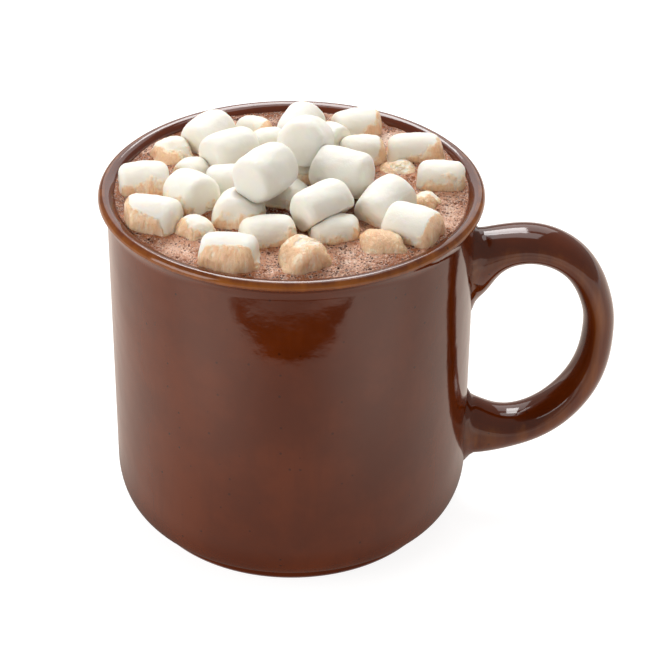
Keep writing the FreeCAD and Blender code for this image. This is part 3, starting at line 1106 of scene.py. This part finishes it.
@dataclass
class Drink:
    """The cocoa with its foam: a body that reaches just into the wall, and small bubbles on top."""

    finish: bpy.types.Material
    mug: Mug
    heap: list[bpy.types.Object]
    into_wall: float = 0.0003
    depth: float = 0.0300
    film_reach: float = 0.0013
    film_rise: float = 0.0008
    rim_reach: float = 0.0009
    rim_rise: float = 0.0004
    foam_drop: float = 0.0002
    waves: tuple[Point, ...] = ((90.0, 0.00030), (260.0, 0.00018), (900.0, 0.00010))
    gap_radius: float = 0.025
    gap_fade: float = 0.009
    rings: int = 128
    around: int = 384
    bubbles: int = 2000
    bubble_sizes: tuple[float, float] = (0.00010, 0.00060)
    bubble_reach: float = 0.0415
    seed: int = 11

    def waterline(self) -> kdtree.KDTree:
        """The marshmallows' points near the surface, laid flat.

        Returns:
            A tree for finding the nearest.
        """
        close = [(v.co.x, v.co.y, 0.0) for obj in self.heap for v in obj.data.vertices
                 if abs(v.co.z - DRINK_LEVEL - 0.0002) < 0.0006]
        tree = kdtree.KDTree(len(close))
        for index, place in enumerate(close):
            tree.insert(place, index)
        tree.balance()
        return tree

    def surface(self, x: float, y: float, shore: kdtree.KDTree, edge: float) -> Place:
        """Height of the foam and its marks at a place.

        Args:
            x: Position across.
            y: Position in depth.
            shore: The waterline.
            edge: Radius of the surface.

        Returns:
            Height, share of film and share of the dark middle, which is dark cocoa with painted shade
            between the marshmallows.
        """
        reach, at = math.hypot(x, y), Vector((x, y, 0.0))
        film = math.exp(-(shore.find((x, y, 0.0))[2] / self.film_reach) ** 2)
        rim = math.exp(-max(edge - reach, 0.0) / self.rim_reach)
        wave, swell, froth = (value_noise.noise(at * scale) * height for scale, height in self.waves)
        inner = min(1.0, max(0.0, (self.gap_radius - reach) / self.gap_fade))
        level = DRINK_LEVEL - self.foam_drop + (wave + swell) + froth
        return level + self.film_rise * film + self.rim_rise * rim, film, inner

    def ring(self, radius: float) -> list[Point]:
        """Evenly spaced places on a circle."""
        turns = [2 * math.pi * k / self.around for k in range(self.around)]
        return [(radius * math.cos(turn), radius * math.sin(turn)) for turn in turns]

    def build(self) -> bpy.types.Object:
        """Makes the drink and its bubbles and hands them to the frame.

        Returns:
            The drink.
        """
        mug, shore, n = self.mug, self.waterline(), self.around
        mouth = mug.body_radius - mug.wall_at_mouth
        base = mug.body_radius - mug.wall_at_base
        slope = (mouth - base) / (mug.height - mug.lip_inner_drop - mug.floor_top - mug.floor_rounding)
        edge = mouth - slope * (mug.height - mug.lip_inner_drop - DRINK_LEVEL) + self.into_wall
        points, film, deep = [(0.0, 0.0, DRINK_LEVEL)], [0.0], [1.0]
        for step in range(1, self.rings + 1):
            for x, y in self.ring(edge * step / self.rings):
                height, wet, inner = self.surface(x, y, shore, edge)
                points.append((x, y, height))
                film.append(wet)
                deep.append(inner)
        bottom = mug.floor_top - self.into_wall
        sag = mug.floor_rounding * 0.29
        skirt = [(edge - slope * self.depth, DRINK_LEVEL - self.depth),
                 (base + self.into_wall, mug.floor_top + mug.floor_rounding)]
        skirt += curve_through(skirt[-1], (base - sag + self.into_wall, bottom + sag),
                               (base - mug.floor_rounding, bottom), 5)
        for radius, z in skirt:
            points += [(x, y, z) for x, y in self.ring(radius)]
        count = self.rings + len(skirt)
        faces = [[0, 1 + k, 1 + (k + 1) % n] for k in range(n)]
        faces += [[row + k, row + n + k, row + n + (k + 1) % n, row + (k + 1) % n]
                  for row in range(1, 1 + (count - 1) * n, n) for k in range(n)]
        faces.append([1 + (count - 1) * n + k for k in range(n)][::-1])
        unmarked = [0.0] * (len(points) - len(film))
        drink = outward(made("cocoa", points, faces, self.finish,
                             {"film": film + unmarked, "deep": deep + unmarked}))
        rides(drink, Slot.DRINK, "drink")
        self.froth(drink)
        return drink

    def froth(self, drink: bpy.types.Object) -> None:
        """Scatters small bubbles over the foam.

        Args:
            drink: The drink, whose top they sit on.
        """
        tree = GeometryTree("froth")
        count, seed = tree.takes("Count", "Int"), tree.takes("Seed", "Int")
        small, large = tree.takes("Smallest"), tree.takes("Largest")
        level, rim = tree.takes("Drink level"), tree.takes("Rim")
        place = tree.add("GeometryNodeInputPosition").outputs[0]
        top = tree.math("GREATER_THAN", tree.parts(place)[2], tree.minus(level, 0.004))
        inside = tree.math("LESS_THAN", tree.reach(place), rim)
        patch = tree.ramp(tree.noise(place, 150.0, 2.0), 0.45, 0.62, 0.08, 1.0)
        weight = tree.times(top, inside, patch)
        source = tree.add("GeometryNodeObjectInfo", {"Object": tree.takes("Drink", "Object")})
        density = tree.times(weight, tree.over(count, 0.0030))
        spread = tree.add("GeometryNodeDistributePointsOnFaces", {
            "Mesh": source.outputs["Geometry"], "Density": density, "Seed": seed})
        ball = tree.add("GeometryNodeMeshIcoSphere", {"Radius": 1.0, "Subdivisions": 2})
        size = tree.add("FunctionNodeRandomValue", {"Seed": seed}, data_type="FLOAT")
        low, high = [s for s in size.inputs if s.enabled][:2]
        tree.feed(low, 0.0)
        tree.feed(high, 1.0)
        pick = tree.math("POWER", next(s for s in size.outputs if s.enabled), 3.0)
        girth = tree.plus(small, tree.times(pick, tree.minus(large, small)))
        scale = tree.add("ShaderNodeCombineXYZ", {0: girth, 1: girth, 2: tree.times(girth, 0.7)})
        placed = tree.add("GeometryNodeInstanceOnPoints", {
            "Points": spread.outputs["Points"], "Instance": ball.outputs["Mesh"], "Scale": scale.outputs[0]})
        tree.close(placed.outputs[0], self.finish)
        obj = linked("froth", bpy.data.meshes.new("froth"))
        tree.apply(obj, {"Count": self.bubbles, "Seed": self.seed, "Smallest": self.bubble_sizes[0],
                         "Largest": self.bubble_sizes[1], "Drink level": DRINK_LEVEL,
                         "Rim": self.bubble_reach, "Drink": drink})
        rides(obj, Slot.DRINK)


@dataclass(frozen=True)
class Lamp:
    """A soft rectangular light: its name, where it stands, its width and height, and its watts."""

    name: str
    place: Place
    size: Point
    power: float


@dataclass(frozen=True)
class Studio:
    """Pale floor, soft lights, a painted reflection of the floor for the glaze, and the camera."""

    lens: float = 125.2
    place: Place = (0.0, -0.4731, 0.3461)
    lean: float = 57.94
    slide: float = 0.0515
    target: Place = (0.0, 0.0, 0.06)
    floor_size: float = 2.0
    floor_grey: float = 0.35
    floor_glow: float = 0.88
    air: Colour = (1.0, 0.94, 0.87)
    air_glow: float = 0.38
    # Tint of the painted floor reflection.
    painted_reflection_tint: Colour = (1.0, 0.86, 0.76)
    mirror_height: float = 0.0008
    lamps: tuple[Lamp, ...] = (Lamp("back", (0.05, 0.75, 0.60), (0.9, 0.6), 2.5),
                               Lamp("window", (-0.02, 0.55, 0.76), (0.36, 0.42), 4.3),
                               Lamp("top", (0.06, 0.24, 0.90), (0.60, 0.40), 1.7),
                               Lamp("left", (-0.75, -0.35, 0.40), (0.6, 0.5), 3.5))

    def sheet(self, name: str, low: Point, high: Point, height: float,
              material: bpy.types.Material) -> bpy.types.Object:
        """A flat rectangle of the studio, facing up.

        Args:
            name: Its name.
            low: Its corner with the least x and y.
            high: The corner across from it.
            height: Its height.
            material: Its finish.

        Returns:
            The sheet.
        """
        corners = [(low[0], low[1], height), (high[0], low[1], height),
                   (high[0], high[1], height), (low[0], high[1], height)]
        sheet = made(name, corners, [[0, 1, 2, 3]], material)
        return sheet

    def floor(self) -> None:
        """A bright pale floor."""
        material = principled("floor", {
            "Base Color": (self.floor_grey,) * 3, "Roughness": 1.0, "Specular IOR Level": 0.0,
            "Emission Color": (1.0, 1.0, 1.0), "Emission Strength": self.floor_glow})[2]
        size = self.floor_size
        self.sheet("floor", (-size, -size), (size, size), 0.0, material)

    def shade(self) -> None:
        """A glowing sheet that only reflections see: a painted reflection of the floor, dim round the mug
        with painted shadow, and a painted dark band a little way in front.
        """
        material = bpy.data.materials.new("shade")
        material.use_nodes = True
        graph = Graph(material.node_tree)
        graph.tree.nodes.clear()
        place = graph.place()
        x, y = graph.parts(place)[:2]
        out = graph.math("ABSOLUTE", x)
        # Painted reflection: brighter to the sides, dimmer just in front of the mug as a painted shadow.
        aside = graph.ramp(out, 0.005, 0.110, 0.72, 1.50)
        ahead = graph.ramp(graph.times(y, -1.0), 0.045, 0.100, 0.72, 1.0)
        # A painted dark band in the reflection, a little way in front of the mug, with the floor beyond it
        # lit again.
        ragged = graph.times(graph.noise(place, 260.0, 3.0, 0.7), 0.006)
        bend = graph.ramp(out, 0.078, 0.108, 0.0, 0.0045)
        lit = graph.ramp(graph.plus(y, bend, ragged), -0.1440, -0.1428)
        from_arc = graph.reach(graph.vector("ADD", place, (0.0, -0.1543, 0.0)))
        beyond = graph.ramp(from_arc, 0.3230, 0.3250, 0.0, 0.85)
        # Painted contact shadow round the mug's foot.
        near = graph.ramp(graph.reach(place), 0.038, 0.060, 0.22, 1.0)
        band = graph.times(graph.math("MAXIMUM", lit, beyond), near)
        glow = graph.times(aside, ahead, band)
        emit = graph.add("ShaderNodeEmission", {"Color": self.painted_reflection_tint, "Strength": glow})
        graph.add("ShaderNodeOutputMaterial", {0: emit.outputs[0]})
        card = self.sheet("shade", (-0.7, -1.2), (0.7, 0.6), self.mirror_height, material)
        card.visible_camera = card.visible_diffuse = card.visible_shadow = False

    def light(self, lamp: Lamp) -> None:
        """Hangs up one light and points it at the mug.

        Args:
            lamp: Its place, size and power.
        """
        data = bpy.data.lights.new(lamp.name, "AREA")
        data.shape, data.energy = "RECTANGLE", lamp.power
        data.size, data.size_y = lamp.size
        obj = bpy.data.objects.new(lamp.name, data)
        bpy.context.scene.collection.objects.link(obj)
        obj.location = lamp.place
        facing = Vector(self.target) - Vector(lamp.place)
        obj.rotation_euler = facing.to_track_quat("-Z", "Y").to_euler()

    def camera(self) -> None:
        """The camera, leaning down at the mug."""
        lens = bpy.data.cameras.new("camera")
        lens.lens, lens.sensor_width, lens.shift_x = self.lens, 36.0, self.slide
        lens.clip_start, lens.clip_end = 0.01, 20.0
        camera = bpy.data.objects.new("camera", lens)
        bpy.context.scene.collection.objects.link(camera)
        camera.location = self.place
        camera.rotation_euler = (math.radians(self.lean), 0.0, 0.0)
        bpy.context.scene.camera = camera

    def build(self) -> None:
        """Makes the floor, the lights, the surroundings and the camera."""
        scene = bpy.context.scene
        scene.view_settings.view_transform = "Standard"
        scene.world = bpy.data.worlds.new("studio")
        scene.world.use_nodes = True
        surroundings = scene.world.node_tree.nodes["Background"]
        surroundings.inputs["Color"].default_value = (*self.air, 1)
        surroundings.inputs["Strength"].default_value = self.air_glow
        self.floor()
        self.shade()
        for lamp in self.lamps:
            self.light(lamp)
        self.camera()


def main() -> None:
    """Builds the mug, the marshmallows, the drink and the studio, in that order."""
    logging.basicConfig(level=logging.INFO, format="%(name)s: %(message)s")
    mug = Mug(GlazeFinish().material())
    mug.build()
    heap = Heap(MarshmallowFinish().material()).build()
    Drink(FoamFinish().material(), mug, heap).build()
    Studio().build()


if __name__ == "__main__":
    main()
